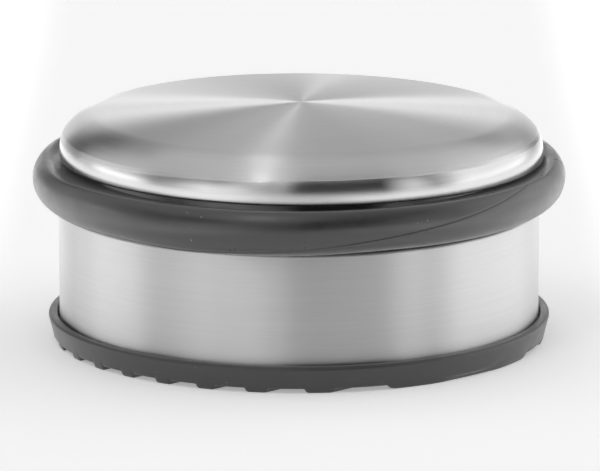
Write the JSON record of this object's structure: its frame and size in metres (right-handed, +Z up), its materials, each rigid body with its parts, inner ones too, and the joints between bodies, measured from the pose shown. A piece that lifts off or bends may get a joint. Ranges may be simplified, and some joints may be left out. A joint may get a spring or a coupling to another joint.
{
  "type": "floor door holder",
  "caption": "Weighted free-standing floor door holder: domed brushed-steel cap and sleeve round a heavy core, black rubber bumper ring, ribbed rubber base.",
  "frame": {"origin": "centre of the underside, on the floor", "axes": "+Z up, along the axis that every turned piece is centred on; -Y is the side towards the viewer"},
  "size_m": [0.0996, 0.0996, 0.0445],
  "materials": {
    "cap_steel": "circular satin brushing, semi-bright",
    "sleeve_steel": "brushed round the circumference, semi-bright, with faint handling smudges",
    "ring_rubber": "black moulded cord, satin, with a faint seam line",
    "pad_rubber": "black moulded rubber, matt",
    "cast_iron": "raw grey casting, rough",
    "plate_steel": "zinc-plated pressed sheet, satin",
    "stud_steel": "plain turned steel, satin",
    "zinc_plate": "zinc plate, semi-bright",
    "damping_foam": "closed-cell foam, matt",
    "adhesive_film": "double-sided film, matt"
  },
  "bodies": {
    "root": {"top_cap": "cap_steel", "body_sleeve": "sleeve_steel", "bumper_ring": "ring_rubber", "base_pad": "pad_rubber", "ballast_core": "cast_iron", "base_plate": "plate_steel", "cap_stud": "stud_steel", "clamp_washer": "zinc_plate", "spring_washer": "zinc_plate", "clamp_nut": "zinc_plate", "damping_disc": "damping_foam", "adhesive_disc": "adhesive_film"}
  },
  "joints": []
}
